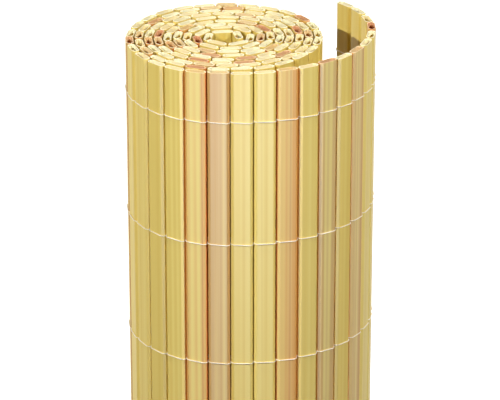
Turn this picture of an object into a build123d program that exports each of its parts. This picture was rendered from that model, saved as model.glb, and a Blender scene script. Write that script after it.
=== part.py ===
from build123d import *
import math
import os

# A privacy screen mat, rolled up and standing on end: hollow plastic slats side by side, bound by rows of
# thread. Millimetres, +Z up, with the origin under the middle of the mat, on the surface it stands on.
# The mat is wound counter-clockwise seen from above. Its free end leaves the roll at the front, which faces
# -Y, and is sprung open towards +X.

# Slat: a hollow extrusion with flat broad faces, bevelled edges and a cavity that narrows from a flat middle
# to a point at each edge
SLAT_LENGTH = 900.0
SLAT_WIDTH = 19.0
SLAT_THICKNESS = 7.0
EDGE_FLAT = 3.0
EDGE_BEVEL = 2.4
FACE_WALL = 0.7
EDGE_WALL = 0.8
CAVITY_FLAT = 12.0

# Winding: the gap between neighbouring slats, the room between turns and the size of the empty core
SLAT_GAP = 0.9
TURN_CLEARANCE = 1.3
CORE_RADIUS = 14.5
WOUND_SLATS = 138

# Free end: degrees between neighbouring slats, growing from the roll towards the tip
FREE_SLATS = 13
LEAVING_HEADING = -5.0
FREE_TURN_FIRST = 7.9
FREE_TURN_STEP = 0.42

# Binding thread: rows up the mat, laid on the outer faces of the free end and the outermost turn, which
# are the last slats of the mat
THREAD_ROWS = 8
THREADED_SLATS = 39
THREAD_END_MARGIN = 46.0
THREAD_HEIGHT = 1.0
THREAD_THICKNESS = 0.7
THREAD_SLACK = 0.1

# Finishes of the slats, from the tip of the free end inwards: the run is repeated along the mat
FINISH_NAMES = {"C": "cream", "H": "honey", "S": "sand"}
FINISH_RUN = "CCCHCCSCSCHCCSHCCCCSCCCCCCSCCCHCCCCCC"

# Stretches into which the roll's slats are sorted, from its outside to the core
STRETCH_SLATS = 31

# Places that follow from the sizes above
SLAT_PITCH = SLAT_WIDTH + SLAT_GAP
TURN_PITCH = SLAT_THICKNESS + TURN_CLEARANCE
HINGE_OFFSET = EDGE_FLAT / 2
THREAD_INSIDE = HINGE_OFFSET + SLAT_THICKNESS / 2 + THREAD_SLACK
THREAD_SPACING = (SLAT_LENGTH - 2 * THREAD_END_MARGIN) / (THREAD_ROWS - 1)


def slat_outline():
    """The outside of a slat's section, its width along X."""
    edge = SLAT_WIDTH / 2
    shoulder = edge - EDGE_BEVEL
    face = SLAT_THICKNESS / 2
    flat = EDGE_FLAT / 2
    upper = [(edge, flat), (shoulder, face), (-shoulder, face), (-edge, flat)]
    return upper + [(-x, -y) for x, y in upper]


def slat_cavity():
    """The inside of a slat's section: flat in the middle and pointed towards the edges."""
    tip = SLAT_WIDTH / 2 - EDGE_WALL
    shoulder = CAVITY_FLAT / 2
    face = SLAT_THICKNESS / 2 - FACE_WALL
    upper = [(tip, 0), (shoulder, face), (-shoulder, face)]
    return upper + [(-x, -y) for x, y in upper]


def slat_headings():
    """The direction of each slat in plan, in degrees, from the core to the tip of the free end.

    A slat of the roll turns in by the angle that its own turn's radius asks for, and a slat of the free end
    by an angle that grows towards the tip. The whole mat is then turned so that the roll's last slat
    faces the front.
    """
    headings = [0.0]
    for number in range(1, WOUND_SLATS):
        radius = CORE_RADIUS + TURN_PITCH * headings[-1] / 360
        headings.append(headings[-1] + 2 * math.degrees(math.asin(SLAT_PITCH / 2 / radius)))
    leaving = headings[-1] - LEAVING_HEADING
    for number in range(FREE_SLATS):
        headings.append(headings[-1] + FREE_TURN_FIRST + FREE_TURN_STEP * number)
    return [heading - leaving for heading in headings]


def across(heading, distance):
    """A step out of the roll, square to a slat with this heading."""
    return Vector(0, -distance).rotate(Axis.Z, heading)


def hinge_points(headings):
    """The points about which neighbouring slats turn, one at each end of every slat."""
    points = [Vector(0, 0)]
    for heading in headings:
        points.append(points[-1] + Vector(SLAT_PITCH, 0).rotate(Axis.Z, heading))
    return points


def thread_line(headings, hinges, first, distance):
    """A line along the slats' outer side from slat number first to the tip, bent at each gap."""
    line = [hinges[first] + across(headings[first], distance)]
    for number in range(first + 1, len(headings)):
        half_turn = (headings[number] - headings[number - 1]) / 2
        reach = distance / math.cos(math.radians(half_turn))
        line.append(hinges[number] + across(headings[number] - half_turn, reach))
    line.append(hinges[-1] + across(headings[-1], distance))
    return line


os.makedirs("parts", exist_ok=True)

# The mat's plan: slat headings, hinge points, and the thread over the stretch that nothing covers
headings = slat_headings()
hinges = hinge_points(headings)
first_threaded = len(headings) - THREADED_SLATS
thread_inside = thread_line(headings, hinges, first_threaded, THREAD_INSIDE)
thread_outside = thread_line(headings, hinges, first_threaded, THREAD_INSIDE + THREAD_THICKNESS)

# The middle of the plan becomes the origin
left = min(point.X for point in thread_outside)
right = max(point.X for point in thread_outside)
front = min(point.Y for point in thread_outside)
back = max(point.Y for point in thread_outside)
middle = Vector((left + right) / 2, (front + back) / 2)

# Slats of one finish, for the free end and for each stretch of the roll, from its outside to the core
slat_groups = {}
for number, heading in enumerate(headings):
    place = (hinges[number] + hinges[number + 1]) / 2 + across(heading, HINGE_OFFSET) - middle
    letter = FINISH_RUN[(len(headings) - 1 - number) % len(FINISH_RUN)]
    stretch = "free_end"
    if number < WOUND_SLATS:
        stretch = f"roll_stretch_{(WOUND_SLATS - 1 - number) // STRETCH_SLATS + 1}"
    group = slat_groups.setdefault(f"{stretch}_{FINISH_NAMES[letter]}_slats", [])
    group.append(Location((place.X, place.Y, 0), (0, 0, heading)))

for name, places in slat_groups.items():
    with BuildPart() as slats:
        with BuildSketch():
            with Locations(*places):
                Polygon(*slat_outline(), align=None)
                Polygon(*slat_cavity(), align=None, mode=Mode.SUBTRACT)
        extrude(amount=SLAT_LENGTH)
    slats.part.label = name
    export_step(slats.part, f"parts/{name}.step")

# Binding threads, from the lowest row up
thread_outline = [point - middle for point in thread_inside + thread_outside[::-1]]
for row in range(THREAD_ROWS):
    height = THREAD_END_MARGIN + row * THREAD_SPACING
    with BuildPart() as thread:
        with BuildSketch(Plane.XY.offset(height - THREAD_HEIGHT / 2)):
            with BuildLine():
                Polyline(*[(point.X, point.Y) for point in thread_outline], close=True)
            make_face()
        extrude(amount=THREAD_HEIGHT)
    thread.part.label = f"binding_thread_{row + 1}"
    export_step(thread.part, f"parts/binding_thread_{row + 1}.step")
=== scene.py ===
import math

import bpy
import numpy as np
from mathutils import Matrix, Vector
from mathutils.geometry import tessellate_polygon


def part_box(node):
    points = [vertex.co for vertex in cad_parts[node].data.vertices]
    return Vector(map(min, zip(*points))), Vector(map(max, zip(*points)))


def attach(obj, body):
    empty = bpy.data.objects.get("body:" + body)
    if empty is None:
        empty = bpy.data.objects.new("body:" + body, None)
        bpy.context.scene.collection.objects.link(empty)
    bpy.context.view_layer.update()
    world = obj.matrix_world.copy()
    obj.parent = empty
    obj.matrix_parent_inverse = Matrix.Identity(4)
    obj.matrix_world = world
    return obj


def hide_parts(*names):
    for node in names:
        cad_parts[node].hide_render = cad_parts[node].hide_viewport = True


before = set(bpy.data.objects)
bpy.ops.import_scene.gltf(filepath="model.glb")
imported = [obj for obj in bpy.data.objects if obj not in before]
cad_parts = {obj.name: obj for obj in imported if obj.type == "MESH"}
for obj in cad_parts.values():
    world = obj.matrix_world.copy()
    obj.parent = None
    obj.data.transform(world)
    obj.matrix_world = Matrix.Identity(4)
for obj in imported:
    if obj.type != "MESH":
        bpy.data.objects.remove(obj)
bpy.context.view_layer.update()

MM = 0.001

# Reading the frame: the digits and the distance within which two corners count as one
CORNER_DIGITS = 6
SAME_PLACE = 0.01 * MM

# Slat: roundings of the extruded section, softened cut edges and the scatter of the cut lengths
SHOULDER_ROUNDING = 0.4 * MM
CAVITY_ROUNDING = 0.5 * MM
LARGEST_TRIM = 0.45
CORNER_STEPS = 4
CUT_SOFTENING = 0.18 * MM
CUT_SCATTER = 1.3 * MM

# Colours on a slat: the depths between which its hollow turns from painted light to painted shade, measured
# less deep away from the middle, the line across its faces where the streaks are palest, and the width of
# the painted shade tint on its sides that face the gaps
PAINTED_LIGHT_DEPTH = 3.0 * MM
PAINTED_SHADE_DEPTH = 3.9 * MM
PAINTED_SHADE_SLOPE = 0.9
PALE_LINE = -1.5 * MM
GAP_SHADE_WIDTH = 0.4 * MM

# Streaks: where each kind fades out, how far the fine lines break it up, and the tones of single slats
NOISE_MIDDLE = 0.5
PALE_FADE = (0.4, 0.6)
BROWN_FADE = (0.44, 0.64)
STRIP_FADE = (0.055, 0.015)
STAIN_FADE = (0.2, 0.8)
FINE_IN_PALE = 0.2
FINE_IN_BROWN = 0.15
FINE_IN_TONE = 0.06
DARKEST_TONE = 0.95
TONE_SPREAD = 0.05
TONE_STEP = 91.0

# Surface of the plastic: its gloss, and the relief of its fine lines and hairlines
LEAST_ROUGHNESS = 0.36
ROUGHNESS_SPREAD = 0.2
FINE_RELIEF = 0.65
HAIR_RELIEF = 0.35
STREAK_BUMP = 0.25
STREAK_HEIGHT = 0.3 * MM
PVC_SPECULAR = 0.4

# Binding thread: two strands that change sides at every gap, one above the other, and fill out on the faces
# that can be seen
STRAND_RADIUS = 0.37 * MM
FULL_RADIUS = 0.46 * MM
SHOWN_SLATS = 42
STRAND_CLEARANCE = 0.02 * MM
STRAND_LIFT = 0.55 * MM
SEEN_SIDES = 8
HIDDEN_SIDES = 4

# Stops of a strand's line: shares of its distance from the edge and from the shoulder, and of the
# shoulder's own place
EDGE_STOP = 0.6
SHOULDER_STOP = 0.98
FACE_STOPS = (0.75, 0.3)
HIDDEN_FACE_STOP = 0.7

# Knot at the tip of each row: its size, its rings of points, its uneven swelling and how far it stands out
KNOT_RADIUS = 0.8 * MM
KNOT_ROWS = 6
KNOT_COLUMNS = 10
KNOT_SWELL = 0.12
KNOT_OUTSIDE = 0.55

# Look of the thread: the length of one twist, the painted shade in the grooves between its plies, and the
# colour on its plies
PLY_TWIST = 1.6 * MM
PLY_FADE = (0.0, 0.6)
PLY_BUMP = 0.6
PLY_HEIGHT = 0.1 * MM
GROOVE_SHADE_COLOUR = (212, 192, 148)
PLY_COLOUR = (252, 246, 228)
THREAD_ROUGHNESS = 0.8
THREAD_SPECULAR = 0.2

# Studio: a floor that is white where it is seen and throws little light back, and a dim warm sky. The
# floor's own glow comes in with the distance from the roll, and leaves room for the shadow at its foot.
WHITE = (1, 1, 1, 1)
BLACK = (0, 0, 0, 1)
FLOOR_SIZE = 24
FLOOR_SEEN = (0.9, 0.9, 0.9, 1)
FLOOR_THROWING = (0.3, 0.28, 0.24, 1)
GLOW_AT_FOOT = (0.35, 0.35, 0.35, 1)
GLOW_FADE = (0.2, 0.55)
SKY_LOW = (0.075, 0.05, 0.03, 1)
SKY_HIGH = (0.11, 0.095, 0.07, 1)
SKY_FADE = (0.1, 0.9)

# Camera: it looks down on the roll's rim, and the lower end is out of view
CAMERA_AIM = Vector((-0.0008, 0, 0.7422))
CAMERA_DISTANCE = 3.0
CAMERA_ELEVATION = math.radians(23.4)
CAMERA_LENS = 239.6
CAMERA_SENSOR = 36
CAMERA_REACH = 50

random = np.random.default_rng(11)
staining = np.random.default_rng(20375)


def separate_solids(node):
    """The corners of each separate solid of a CAD node, without repeats."""
    mesh = node.data
    corners = [tuple(round(c, CORNER_DIGITS) for c in vertex.co) for vertex in mesh.vertices]
    number = {corner: n for n, corner in enumerate(dict.fromkeys(corners))}
    leader = list(range(len(number)))

    def leader_of(n):
        while leader[n] != n:
            n = leader[n]
        return n

    for a, b in mesh.edge_keys:
        leader[leader_of(number[corners[a]])] = leader_of(number[corners[b]])
    solids = {}
    for corner, n in number.items():
        solids.setdefault(leader_of(n), []).append(corner)
    return [np.array(points) for points in solids.values()]


def read_slats():
    """Each slat of the frame: its node, its middle in plan, and the direction of its width."""
    slats = []
    for name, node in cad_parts.items():
        if not name.endswith("_slats"):
            continue
        for corners in separate_solids(node):
            plan = corners[:, :2]
            middle = plan.mean(axis=0)
            spread = np.linalg.eigh(np.cov((plan - middle).T))
            slats.append({"node": name, "middle": middle, "along": spread[1][:, 1], "corners": corners})
    return slats


def in_mat_order(slats):
    """The slats from the core to the tip of the free end, each with its width pointing to the tip.

    The ends of slat n are numbered 2n and 2n + 1. The tip is the end of a free slat that is furthest from
    any other slat, and from there each slat's other end leads to the next slat.
    """
    half = max(abs((s["corners"][:, :2] - s["middle"]) @ s["along"]).max() for s in slats)
    ends = np.array([[s["middle"] - s["along"] * half, s["middle"] + s["along"] * half] for s in slats])
    flat = ends.reshape(-1, 2)
    apart = np.linalg.norm(flat[:, None] - flat[None], axis=2)
    for n in range(len(slats)):
        apart[2 * n : 2 * n + 2, 2 * n : 2 * n + 2] = np.inf
    nearest = apart.argmin(axis=1)
    gap = apart.min(axis=1)
    free = [n for n, s in enumerate(slats) if s["node"].startswith("free_end")]
    leaving = max((2 * n + side for n in free for side in (0, 1)), key=lambda end: gap[end])
    order = []
    while len(order) < len(slats):
        slat = slats[leaving // 2]
        onward = leaving ^ 1
        slat["along"] = (flat[leaving] - flat[onward]) / np.linalg.norm(flat[leaving] - flat[onward])
        slat["outward"] = np.array([slat["along"][1], -slat["along"][0]])
        order.append(slat)
        leaving = nearest[onward]
    return order[::-1]


def section_of(slat):
    """The outline and the cavity of a slat's section, as corners with the width along x."""
    axes = np.array([slat["along"], slat["outward"]])
    local = np.abs((slat["corners"][:, :2] - slat["middle"]) @ axes.T)
    edge, face = local.max(axis=0)
    flat = max(y for x, y in local if x > edge - SAME_PLACE)
    shoulder = max(x for x, y in local if y > face - SAME_PLACE)
    inner = [(x, y) for x, y in local if x < edge - SAME_PLACE and y < face - SAME_PLACE]
    tip = max(x for x, y in inner)
    roof = max(y for x, y in inner)
    roof_end = max(x for x, y in inner if y > roof - SAME_PLACE)
    upper = [(edge, flat), (shoulder, face), (-shoulder, face), (-edge, flat)]
    upper_inside = [(tip, 0.0), (roof_end, roof), (-roof_end, roof)]
    outline = np.array(upper + [(-x, -y) for x, y in upper])
    cavity = np.array(upper_inside + [(-x, -y) for x, y in upper_inside])
    return outline, cavity


def rounded(corners, rounding):
    """A closed outline with its corners rounded."""
    points = []
    for n, corner in enumerate(corners):
        before, after = corners[n - 1] - corner, corners[(n + 1) % len(corners)] - corner
        room = min(np.linalg.norm(before), np.linalg.norm(after))
        trim = min(rounding, LARGEST_TRIM * room)
        start = corner + before / np.linalg.norm(before) * trim
        end = corner + after / np.linalg.norm(after) * trim
        for t in np.linspace(0, 1, CORNER_STEPS):
            points.append((1 - t) ** 2 * start + 2 * t * (1 - t) * corner + t**2 * end)
    return np.array(points)


def inset(points, distance):
    """A closed, counter-clockwise outline moved inwards."""
    steps = np.roll(points, -1, axis=0) - np.roll(points, 1, axis=0)
    steps /= np.linalg.norm(steps, axis=1)[:, None]
    return points + np.column_stack([-steps[:, 1], steps[:, 0]]) * distance


def broad_normals(points, faces):
    """Normals at a form's points, led by its broad faces, which then look flat up to their edges."""
    normals = np.zeros_like(points)
    for face in faces:
        ring = points[list(face)]
        area = sum(np.cross(ring[n - 1], ring[n]) for n in range(len(ring)))
        normals[list(face)] += area
    return normals / np.linalg.norm(normals, axis=1)[:, None]


def make_piece(name, vertices, faces, attributes, material, normals=None):
    """A piece of the mat with smooth faces and numbers at its points for the material to read."""
    mesh = bpy.data.meshes.new(name)
    mesh.from_pydata([tuple(v) for v in vertices], [], faces)
    for label, values in attributes.items():
        mesh.attributes.new(label, "FLOAT", "POINT").data.foreach_set("value", np.array(values, np.float32))
    mesh.polygons.foreach_set("use_smooth", [True] * len(mesh.polygons))
    if normals is not None:
        mesh.normals_split_custom_set_from_vertices([tuple(normal) for normal in normals])
    mesh.update()
    mesh.materials.append(material)
    piece = bpy.data.objects.new(name, mesh)
    bpy.context.scene.collection.objects.link(piece)
    return piece


def ring_walls(first, second, count):
    """Faces between two rings of points, numbered from first and second."""
    return [
        (first + n, first + (n + 1) % count, second + (n + 1) % count, second + n) for n in range(count)
    ]


def slat_form(outline, cavity, length):
    """Points, faces and marks of one slat in its own section's frame, with its full length.

    The rings run up the outside and down the inside, and the two cut ends are closed between them.
    """
    outside = rounded(outline, SHOULDER_ROUNDING)
    inside = rounded(cavity, CAVITY_ROUNDING)
    outer_rim = inset(outside, CUT_SOFTENING)
    inner_rim = inset(inside, -CUT_SOFTENING)
    skin, cut, hollow = (0, 0), (1, 0), (0, 1)
    outer_rings = [
        (outer_rim, 0.0, cut),
        (outside, CUT_SOFTENING, skin),
        (outside, length - CUT_SOFTENING, skin),
        (outer_rim, length, cut),
    ]
    inner_rings = [
        (inner_rim, length, cut),
        (inside, length - CUT_SOFTENING, hollow),
        (inside, length / 2, hollow),
        (inside, CUT_SOFTENING, hollow),
        (inner_rim, 0.0, cut),
    ]
    points, marks, faces, starts = [], [], [], []
    for rings in (outer_rings, inner_rings):
        for number, (ring, height, mark) in enumerate(rings):
            starts.append(len(points))
            points += [(x, y, height) for x, y in ring]
            marks += [mark] * len(ring)
            if number:
                faces += ring_walls(starts[-2], starts[-1], len(ring))
    outer_top = starts[len(outer_rings) - 1]
    inner_top = starts[len(outer_rings)]
    rims = [[Vector((*p, 0)) for p in rim] for rim in (outer_rim, inner_rim)]
    for triangle in tessellate_polygon(rims):
        top, bottom = [], []
        for n in triangle:
            within = n >= len(outside)
            top.append(inner_top + n - len(outside) if within else outer_top + n)
            bottom.append(starts[-1] + n - len(outside) if within else starts[0] + n)
        a, b, c = (np.array(points[n][:2]) for n in top)
        if (b[0] - a[0]) * (c[1] - a[1]) - (b[1] - a[1]) * (c[0] - a[0]) < 0:
            top.reverse()
            bottom.reverse()
        faces.append(tuple(top))
        faces.append(tuple(bottom[::-1]))
    return np.array(points), faces, np.array(marks)


def turned(slat, points):
    """Points or normals of the section's own frame, its outer face along -y, turned with the slat."""
    plan = np.outer(points[:, 0], slat["along"]) - np.outer(points[:, 1], slat["outward"])
    return np.column_stack([plan, points[:, 2]])


def build_slats(mat, materials):
    """One piece for each CAD node of slats: hollow, with rounded shoulders and slightly uneven cut ends."""
    outline, cavity = section_of(mat[-1])
    length = max(s["corners"][:, 2].max() for s in mat)
    points, faces, marks = slat_form(outline, cavity, length)
    normals = broad_normals(points, faces)
    high = points[:, 2] > length / 2
    # Depth into the slat's ends, counted less deep away from the middle: this shapes the painted shade in
    # the hollow
    depths = np.minimum(points[:, 2], length - points[:, 2]) - PAINTED_SHADE_SLOPE * np.abs(points[:, 1])
    cuts = random.uniform(0, CUT_SCATTER, len(mat))
    cuts -= cuts.min()
    seeds = random.uniform(0, 1, len(mat))
    stains = staining.uniform(0, 1, len(mat))
    groups = {}
    for slat, cut, seed, stain in zip(mat, cuts, seeds, stains):
        group = groups.setdefault(
            slat["node"], {"vertices": [], "faces": [], "normals": [], "attributes": {}}
        )
        start = len(group["vertices"])
        standing = turned(slat, points) + (*slat["middle"], 0)
        standing[high, 2] -= cut
        group["vertices"].extend(standing)
        group["faces"].extend(tuple(start + n for n in face) for face in faces)
        group["normals"].extend(turned(slat, normals))
        values = {
            "across": points[:, 0],
            "slat_seed": [seed] * len(points),
            "stain": [stain] * len(points),
            "depth": depths,
            "cut_end": marks[:, 0],
            "hollow": marks[:, 1],
        }
        for label, numbers in values.items():
            group["attributes"].setdefault(label, []).extend(numbers)
    for name, group in groups.items():
        finish = name.split("_")[-2]
        piece = make_piece(f"{name}_dressed", material=materials[finish], **group)
        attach(piece, "root")
        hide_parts(name)


def strand_line(mat, outline, first_side, first_seen):
    """A strand's line in plan with its height above the row, its radius, and which points can be seen.

    It lies on the outer face of one slat and the inner face of the next. On the outer face it falls towards
    the tip and on the inner face it rises, so that the two strands pass one above the other in every gap.
    """
    edge, face = outline.max(axis=0)
    shoulder = outline[1][0]
    flat = outline[0][1]
    reach = STRAND_RADIUS + STRAND_CLEARANCE
    full_reach = FULL_RADIUS + STRAND_CLEARANCE
    bevel = np.array([face - flat, edge - shoulder])
    bevel *= reach / np.linalg.norm(bevel)
    on_bevel = ((edge + shoulder) / 2 + bevel[0], (flat + face) / 2 + bevel[1])
    seen_half = [
        (edge + EDGE_STOP * reach, flat),
        (edge + bevel[0], flat + bevel[1]),
        on_bevel,
        (shoulder + bevel[0] / 2, face + reach * SHOULDER_STOP),
    ]
    seen_half += [(shoulder * stop, face + full_reach) for stop in FACE_STOPS]
    hidden_half = [on_bevel, (shoulder * HIDDEN_FACE_STOP, face + reach)]
    line, radii, seen = [], [], []
    for number, slat in enumerate(mat):
        side = first_side if number % 2 == 0 else -first_side
        shown = number >= first_seen
        half = seen_half if shown else hidden_half
        stops = [(-x, y) for x, y in half] + half[::-1]
        if number:
            before = mat[number - 1]
            gap = (before["middle"] + before["along"] * edge + slat["middle"] - slat["along"] * edge) / 2
            line.append((*gap, STRAND_LIFT * side))
            radii.append(STRAND_RADIUS)
            seen.append(shown)
        for x, y in stops:
            plan = slat["middle"] + slat["along"] * x + slat["outward"] * y * side
            line.append((*plan, -STRAND_LIFT * side * x / edge))
            radii.append(FULL_RADIUS if shown and y >= face + full_reach else STRAND_RADIUS)
            seen.append(shown)
    return np.array(line), np.array(radii), seen


def strand_tube(line, radii, sides):
    """Rings of points round a strand's line, its walls, and the marks that its twist is drawn from."""
    steps = np.gradient(line, axis=0)
    steps /= np.linalg.norm(steps, axis=1)[:, None]
    flank = np.cross(steps, (0, 0, 1))
    flank /= np.linalg.norm(flank, axis=1)[:, None]
    rise = np.cross(flank, steps)
    run = np.concatenate([[0], np.cumsum(np.linalg.norm(np.diff(line, axis=0), axis=1))])
    turn = np.linspace(0, 2 * math.pi, sides, endpoint=False)
    points = (
        line[:, None]
        + radii[:, None, None] * np.cos(turn)[None, :, None] * flank[:, None]
        + radii[:, None, None] * np.sin(turn)[None, :, None] * rise[:, None]
    ).reshape(-1, 3)
    faces = []
    for n in range(len(line) - 1):
        faces += ring_walls(n * sides, (n + 1) * sides, sides)
    faces.append(tuple(range(sides))[::-1])
    faces.append(tuple((len(line) - 1) * sides + n for n in range(sides)))
    marks = {
        "run": np.repeat(run, sides),
        "ply_cos": np.tile(np.cos(turn), len(line)),
        "ply_sin": np.tile(np.sin(turn), len(line)),
    }
    return points, faces, marks


def knot_form(middle):
    """A small round knot, with marks as a strand has."""
    points = []
    for row in range(KNOT_ROWS + 1):
        polar = math.pi * row / KNOT_ROWS
        for column in range(KNOT_COLUMNS):
            angle = 2 * math.pi * column / KNOT_COLUMNS
            swell = 1 + KNOT_SWELL * math.sin(2 * angle + 3 * polar)
            width = KNOT_RADIUS * swell * math.sin(polar)
            points.append(
                (
                    middle[0] + width * math.cos(angle),
                    middle[1] + width * math.sin(angle),
                    middle[2] + KNOT_RADIUS * math.cos(polar),
                )
            )
    faces = []
    for row in range(KNOT_ROWS):
        faces += ring_walls((row + 1) * KNOT_COLUMNS, row * KNOT_COLUMNS, KNOT_COLUMNS)
    return np.array(points), faces, {label: [0.0] * len(points) for label in ("run", "ply_cos", "ply_sin")}


def build_threads(mat, material):
    """Each row's two strands, in place of the CAD band, with a knot at the tip."""
    outline = section_of(mat[-1])[0]
    edge = outline[0][0]
    forms = []
    for first_side in (1, -1):
        line, radii, seen = strand_line(mat, outline, first_side, len(mat) - SHOWN_SLATS)
        change = seen.index(True)
        forms.append(strand_tube(line[: change + 1], radii[: change + 1], HIDDEN_SIDES))
        forms.append(strand_tube(line[change:], radii[change:], SEEN_SIDES))
    tip = mat[-1]["middle"] + mat[-1]["along"] * (edge + KNOT_RADIUS * KNOT_OUTSIDE)
    forms.append(knot_form((*tip, 0)))
    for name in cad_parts:
        if not name.startswith("binding_thread"):
            continue
        low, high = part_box(name)
        height = np.array([0, 0, (low.z + high.z) / 2])
        vertices, faces, attributes = [], [], {}
        for points, walls, marks in forms:
            start = len(vertices)
            vertices.extend(points + height)
            faces.extend(tuple(start + n for n in wall) for wall in walls)
            for label, numbers in marks.items():
                attributes.setdefault(label, []).extend(numbers)
        piece = make_piece(f"{name}_strands", vertices, faces, attributes, material)
        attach(piece, "root")
        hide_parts(name)


def add_node(tree, kind, inputs=None, **settings):
    """A shader node with its settings, and its inputs set or linked."""
    made = tree.nodes.new(kind)
    for name, value in settings.items():
        setattr(made, name, value)
    for socket, value in (inputs or {}).items():
        if isinstance(value, bpy.types.NodeSocket):
            tree.links.new(value, made.inputs[socket])
        else:
            made.inputs[socket].default_value = value
    return made


def maths(tree, operation, a, b=0.0):
    """The result of one operation on two numbers."""
    return add_node(tree, "ShaderNodeMath", {0: a, 1: b}, operation=operation).outputs[0]


def ease(tree, value, low, high):
    """0 at low, 1 at high, and a smooth step between them."""
    inputs = {0: value, 1: low, 2: high}
    return add_node(tree, "ShaderNodeMapRange", inputs, interpolation_type="SMOOTHSTEP").outputs[0]


def blend(tree, share, a, b, mode="MIX"):
    """Colour a where share is 0, and colour b where it is 1."""
    inputs = {0: share, 6: a, 7: b}
    return add_node(tree, "ShaderNodeMix", inputs, data_type="RGBA", blend_type=mode).outputs[2]


def attribute(tree, label):
    """A number that a piece has at its points."""
    return add_node(tree, "ShaderNodeAttribute", attribute_name=label).outputs["Fac"]


def new_group(name, inputs, outputs):
    """An empty shader group with its sockets, and its input and output nodes."""
    group = bpy.data.node_groups.new(name, "ShaderNodeTree")
    for label, kind in inputs:
        group.interface.new_socket(name=label, in_out="INPUT", socket_type=f"NodeSocket{kind}")
    for label, kind in outputs:
        group.interface.new_socket(name=label, in_out="OUTPUT", socket_type=f"NodeSocket{kind}")
    return group, group.nodes.new("NodeGroupInput").outputs, group.nodes.new("NodeGroupOutput").inputs


def streaked_pvc_group(half_width):
    """Lengthwise streaks of an extruded slat: soft bands, narrow strips, fine lines and hairlines.

    The faces turn browner towards the slat's edges. The cut ends have their own paler colour with a painted
    highlight on top, the hollow has painted light near the cut and painted shade deeper in, and the sides
    that face the gaps have a painted shade tint.
    """
    group, given, result = new_group(
        "streaked_pvc",
        [
            ("Pale", "Color"),
            ("Main", "Color"),
            ("Brown", "Color"),
            ("Strip", "Color"),
            ("Cut", "Color"),
            ("Hollow", "Color"),
            ("Stained Cut", "Color"),
            ("Stained Hollow", "Color"),
            ("Painted Hollow Shade", "Color"),
            ("Pale Level", "Float"),
            ("Brown Level", "Float"),
            ("Edge", "Color"),
            ("Edge Brown", "Float"),
            ("Strip Share", "Float"),
        ],
        [("Color", "Color"), ("Roughness", "Float"), ("Height", "Float")],
    )

    def total(a, b):
        return maths(group, "ADD", a, b)

    def product(a, b):
        return maths(group, "MULTIPLY", a, b)

    def difference(a, b):
        return maths(group, "SUBTRACT", a, b)

    across = attribute(group, "across")
    seed = attribute(group, "slat_seed")
    place = add_node(group, "ShaderNodeTexCoord").outputs["Object"]
    up = add_node(group, "ShaderNodeSeparateXYZ", {0: place}).outputs[2]

    def streaks(per_metre, seed_step, along, detail):
        corners = {0: product(across, per_metre), 1: product(seed, seed_step), 2: product(up, along)}
        point = add_node(group, "ShaderNodeCombineXYZ", corners).outputs[0]
        inputs = {"Vector": point, "Scale": 1.0, "Detail": detail}
        return add_node(group, "ShaderNodeTexNoise", inputs).outputs[0]

    bands = streaks(per_metre=120.0, seed_step=310.0, along=0.4, detail=1.0)
    pale_bands = streaks(per_metre=200.0, seed_step=130.0, along=0.4, detail=1.0)
    strips = streaks(per_metre=60.0, seed_step=470.0, along=0.25, detail=0.0)
    fine = streaks(per_metre=700.0, seed_step=570.0, along=1.3, detail=2.0)
    hair = streaks(per_metre=3200.0, seed_step=830.0, along=3.0, detail=1.0)
    fine_swing = difference(fine, NOISE_MIDDLE)
    tone_place = {"W": product(seed, TONE_STEP)}
    tone = add_node(group, "ShaderNodeTexWhiteNoise", tone_place, noise_dimensions="1D").outputs[0]

    off_line = product(difference(across, PALE_LINE), 1 / half_width)
    edge = product(product(off_line, off_line), given["Edge Brown"])
    pale = total(pale_bands, product(fine_swing, FINE_IN_PALE))
    pale = difference(total(pale, given["Pale Level"]), edge)
    colour = blend(group, ease(group, pale, *PALE_FADE), given["Main"], given["Pale"])
    brown = total(bands, product(fine_swing, FINE_IN_BROWN))
    brown = total(total(brown, given["Brown Level"]), edge)
    colour = blend(group, ease(group, brown, *BROWN_FADE), colour, given["Brown"])
    off_strip = maths(group, "ABSOLUTE", difference(strips, NOISE_MIDDLE))
    strip = product(ease(group, off_strip, *STRIP_FADE), given["Strip Share"])
    colour = blend(group, strip, colour, given["Strip"])
    shade = total(DARKEST_TONE, product(tone, TONE_SPREAD))
    shade = total(shade, product(fine_swing, FINE_IN_TONE))
    grey = add_node(group, "ShaderNodeCombineColor", {0: shade, 1: shade, 2: shade}).outputs[0]
    colour = blend(group, 1.0, colour, grey, "MULTIPLY")
    # Painted shade: the sides that face the gaps get a tint for how they look in the gaps' shade
    in_gap_shade = ease(group, maths(group, "ABSOLUTE", across), half_width - GAP_SHADE_WIDTH, half_width)
    colour = blend(group, in_gap_shade, colour, given["Edge"])
    stain = ease(group, attribute(group, "stain"), *STAIN_FADE)
    # Painted light and shade in the hollow: near the cut its walls are painted paler than the skin, and
    # deeper in painted shade comes in, higher in the middle than at the sides
    painted_depth_shade = ease(group, attribute(group, "depth"), PAINTED_LIGHT_DEPTH, PAINTED_SHADE_DEPTH)
    hollow = blend(group, stain, given["Hollow"], given["Stained Hollow"])
    hollow = blend(group, painted_depth_shade, hollow, given["Painted Hollow Shade"])
    # The cut ends: their own paler colour, made paler still as a painted highlight of the light from above
    cut = blend(group, stain, given["Cut"], given["Stained Cut"])
    colour = blend(group, attribute(group, "hollow"), colour, hollow)
    colour = blend(group, attribute(group, "cut_end"), colour, cut)
    roughness = total(LEAST_ROUGHNESS, product(fine, ROUGHNESS_SPREAD))
    height = total(product(hair, HAIR_RELIEF), product(fine, FINE_RELIEF))
    group.links.new(colour, result["Color"])
    group.links.new(roughness, result["Roughness"])
    group.links.new(height, result["Height"])
    return group


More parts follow.
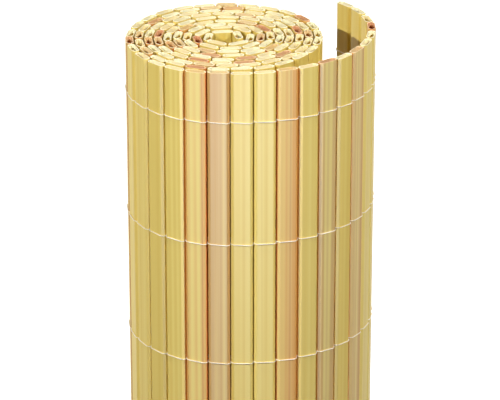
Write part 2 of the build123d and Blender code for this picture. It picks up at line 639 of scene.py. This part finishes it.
def srgb(red, green, blue):
    """A colour given as it looks on screen, from 0 to 255."""
    channels = []
    for value in (red, green, blue):
        c = value / 255
        channels.append(c / 12.92 if c <= 0.04045 else ((c + 0.055) / 1.055) ** 2.4)
    return (*channels, 1.0)


def new_material(name):
    """A material with its node tree and its shader."""
    material = bpy.data.materials.new(name)
    material.use_nodes = True
    return material, material.node_tree, material.node_tree.nodes["Principled BSDF"]


def pvc_material(name, group, inputs):
    """Satin plastic with the streaks of its finish."""
    material, tree, shader = new_material(name)
    streaks = add_node(tree, "ShaderNodeGroup", node_tree=group)
    for label, value in inputs.items():
        streaks.inputs[label].default_value = value
    bump = add_node(tree, "ShaderNodeBump", {"Height": streaks.outputs["Height"]})
    bump.inputs["Strength"].default_value = STREAK_BUMP
    bump.inputs["Distance"].default_value = STREAK_HEIGHT
    tree.links.new(streaks.outputs["Color"], shader.inputs["Base Color"])
    tree.links.new(streaks.outputs["Roughness"], shader.inputs["Roughness"])
    tree.links.new(bump.outputs["Normal"], shader.inputs["Normal"])
    shader.inputs["Specular IOR Level"].default_value = PVC_SPECULAR
    return material


def thread_material():
    """Off-white thread of two plies laid round each other."""
    material, tree, shader = new_material("binding_thread")
    turn = maths(tree, "MULTIPLY", attribute(tree, "run"), 2 * math.pi / PLY_TWIST)
    helix = maths(
        tree,
        "ADD",
        maths(tree, "MULTIPLY", maths(tree, "SINE", turn), attribute(tree, "ply_cos")),
        maths(tree, "MULTIPLY", maths(tree, "COSINE", turn), attribute(tree, "ply_sin")),
    )
    ply = ease(tree, maths(tree, "ABSOLUTE", helix), *PLY_FADE)
    # Painted shade in the grooves between the plies; the knot, whose marks are all zero, takes this painted
    # shade all over
    colour = blend(tree, ply, srgb(*GROOVE_SHADE_COLOUR), srgb(*PLY_COLOUR))
    bump = add_node(tree, "ShaderNodeBump", {"Height": ply})
    bump.inputs["Strength"].default_value = PLY_BUMP
    bump.inputs["Distance"].default_value = PLY_HEIGHT
    tree.links.new(colour, shader.inputs["Base Color"])
    tree.links.new(bump.outputs["Normal"], shader.inputs["Normal"])
    shader.inputs["Roughness"].default_value = THREAD_ROUGHNESS
    shader.inputs["Specular IOR Level"].default_value = THREAD_SPECULAR
    return material


def shows_surroundings(tree):
    """1 for the rays that show the white surroundings: the camera's own, reflected and passed through."""
    path = add_node(tree, "ShaderNodeLightPath").outputs
    reflected = maths(tree, "MAXIMUM", path["Is Glossy Ray"], path["Is Transmission Ray"])
    return maths(tree, "MAXIMUM", path["Is Camera Ray"], reflected)


def build_floor():
    """A plain white floor that shows the mat's shadow and throws little light back."""
    bpy.ops.mesh.primitive_plane_add(size=FLOOR_SIZE)
    floor = bpy.context.object
    floor.name = "floor"
    material, tree, shader = new_material("floor_white")
    seen = shows_surroundings(tree)
    place = add_node(tree, "ShaderNodeTexCoord").outputs["Object"]
    distance = add_node(tree, "ShaderNodeVectorMath", {0: place}, operation="LENGTH").outputs["Value"]
    glow = blend(tree, ease(tree, distance, *GLOW_FADE), GLOW_AT_FOOT, WHITE)
    colour = blend(tree, seen, FLOOR_THROWING, FLOOR_SEEN)
    tree.links.new(colour, shader.inputs["Base Color"])
    tree.links.new(blend(tree, seen, BLACK, glow), shader.inputs["Emission Color"])
    shader.inputs["Emission Strength"].default_value = 1.0
    shader.inputs["Roughness"].default_value = 1.0
    shader.inputs["Specular IOR Level"].default_value = 0.0
    floor.data.materials.append(material)


def add_light(name, kind, energy, place, aim, **settings):
    """A lamp that shines from its place towards its aim."""
    light = bpy.data.objects.new(name, bpy.data.lights.new(name, kind))
    light.data.energy = energy
    for setting, value in settings.items():
        setattr(light.data, setting, value)
    light.location = place
    light.rotation_euler = (Vector(aim) - light.location).to_track_quat("-Z", "Y").to_euler()
    bpy.context.scene.collection.objects.link(light)
    return light


def build_light():
    """Hard keys from both sides, a low light behind, light from above, a sheen in front and a dim sky.

    The camera and reflections see the sky as white. The panel in front only shows as a sheen on the slats,
    and the light behind only as light on their faces.
    """
    world = bpy.data.worlds.new("studio")
    bpy.context.scene.world = world
    world.use_nodes = True
    tree = world.node_tree
    background = tree.nodes["Background"]
    seen = shows_surroundings(tree)
    direction = add_node(tree, "ShaderNodeTexCoord").outputs["Generated"]
    up = add_node(tree, "ShaderNodeSeparateXYZ", {0: direction}).outputs[2]
    sky = blend(tree, ease(tree, up, *SKY_FADE), SKY_LOW, SKY_HIGH)
    tree.links.new(blend(tree, seen, sky, WHITE), background.inputs["Color"])

    key = {
        "kind": "SPOT",
        "aim": (0, 0, 0.95),
        "spot_size": math.radians(54),
        "spot_blend": 1.0,
        "shadow_soft_size": 0.025,
    }
    add_light("left_key", energy=123.0, place=(-1.394, -1.17, 1.9), **key)
    add_light("right_key", energy=117.0, place=(1.243, -1.159, 2.084), **key)
    low_back = add_light(
        "low_back",
        kind="SPOT",
        energy=60.0,
        place=(-1.35, 1.65, 0.7),
        aim=(0, 0, 0.3),
        spot_size=math.radians(40),
        spot_blend=1.0,
        shadow_soft_size=0.2,
    )
    low_back.visible_glossy = False
    add_light(
        "overhead", kind="SUN", energy=1.1, place=(0.1, -0.1, 3), aim=(0, 0, 0), angle=math.radians(6)
    )
    sheen_panel = add_light(
        "sheen_panel",
        kind="AREA",
        energy=44.0,
        place=(0.05, -1.3, 0.56),
        aim=(0, 0, 0.9),
        shape="RECTANGLE",
        size=1.8,
        size_y=0.2,
    )
    sheen_panel.visible_diffuse = False


def build_camera():
    """A camera without shift, in front of the roll and above it."""
    camera = bpy.data.objects.new("camera", bpy.data.cameras.new("camera"))
    camera.data.lens = CAMERA_LENS
    camera.data.sensor_width = CAMERA_SENSOR
    camera.data.clip_end = CAMERA_REACH
    back = Vector((0, -math.cos(CAMERA_ELEVATION), math.sin(CAMERA_ELEVATION)))
    camera.location = CAMERA_AIM + back * CAMERA_DISTANCE
    camera.rotation_euler = (-back).to_track_quat("-Z", "Y").to_euler()
    bpy.context.scene.collection.objects.link(camera)
    bpy.context.scene.camera = camera


# Cut and Stained Cut are the ends' own paler colour with a painted highlight on top.
# Edge is a painted shade tint for the sides of the slats that face the gaps.
# Hollow and Stained Hollow, the latter with the stain's own hue, are painted light, paler than the hollow's
# walls would look; the deep colour is painted shade further into the hollow.
FINISHES = {
    "cream": {
        "Pale": srgb(239, 217, 122),
        "Main": srgb(235, 209, 108),
        "Brown": srgb(228, 198, 92),
        "Strip": srgb(224, 192, 88),
        "Cut": srgb(254, 245, 206),
        "Hollow": srgb(255, 250, 214),
        "Stained Cut": srgb(254, 243, 204),
        "Stained Hollow": srgb(254, 240, 190),
        "Painted Hollow Shade": srgb(240, 198, 76),
        "Pale Level": 0.0,
        "Brown Level": -0.1,
        "Edge": srgb(246, 222, 122),
        "Edge Brown": 0.0,
        "Strip Share": 0.3,
    },
    "honey": {
        "Pale": srgb(240, 217, 128),
        "Main": srgb(235, 199, 110),
        "Brown": srgb(224, 166, 82),
        "Strip": srgb(206, 142, 78),
        "Cut": srgb(250, 230, 176),
        "Hollow": srgb(244, 214, 150),
        "Stained Cut": srgb(228, 182, 138),
        "Stained Hollow": srgb(228, 172, 126),
        "Painted Hollow Shade": srgb(176, 84, 44),
        "Pale Level": 0.08,
        "Brown Level": -0.1,
        "Edge": srgb(228, 138, 62),
        "Edge Brown": 0.26,
        "Strip Share": 0.6,
    },
    "sand": {
        "Pale": srgb(238, 217, 138),
        "Main": srgb(224, 195, 126),
        "Brown": srgb(208, 164, 94),
        "Strip": srgb(200, 156, 94),
        "Cut": srgb(250, 234, 188),
        "Hollow": srgb(244, 220, 164),
        "Stained Cut": srgb(232, 194, 150),
        "Stained Hollow": srgb(230, 184, 136),
        "Painted Hollow Shade": srgb(190, 116, 60),
        "Pale Level": 0.04,
        "Brown Level": -0.06,
        "Edge": srgb(230, 172, 96),
        "Edge Brown": 0.22,
        "Strip Share": 0.5,
    },
}

mat_slats = in_mat_order(read_slats())
slat_outline = section_of(mat_slats[-1])[0]
streaked_pvc = streaked_pvc_group(half_width=slat_outline[0][0])
slat_materials = {
    finish: pvc_material(f"{finish}_pvc", streaked_pvc, inputs) for finish, inputs in FINISHES.items()
}
build_slats(mat_slats, slat_materials)
build_threads(mat_slats, thread_material())
build_floor()
build_light()
build_camera()
bpy.context.scene.view_settings.view_transform = "Standard"
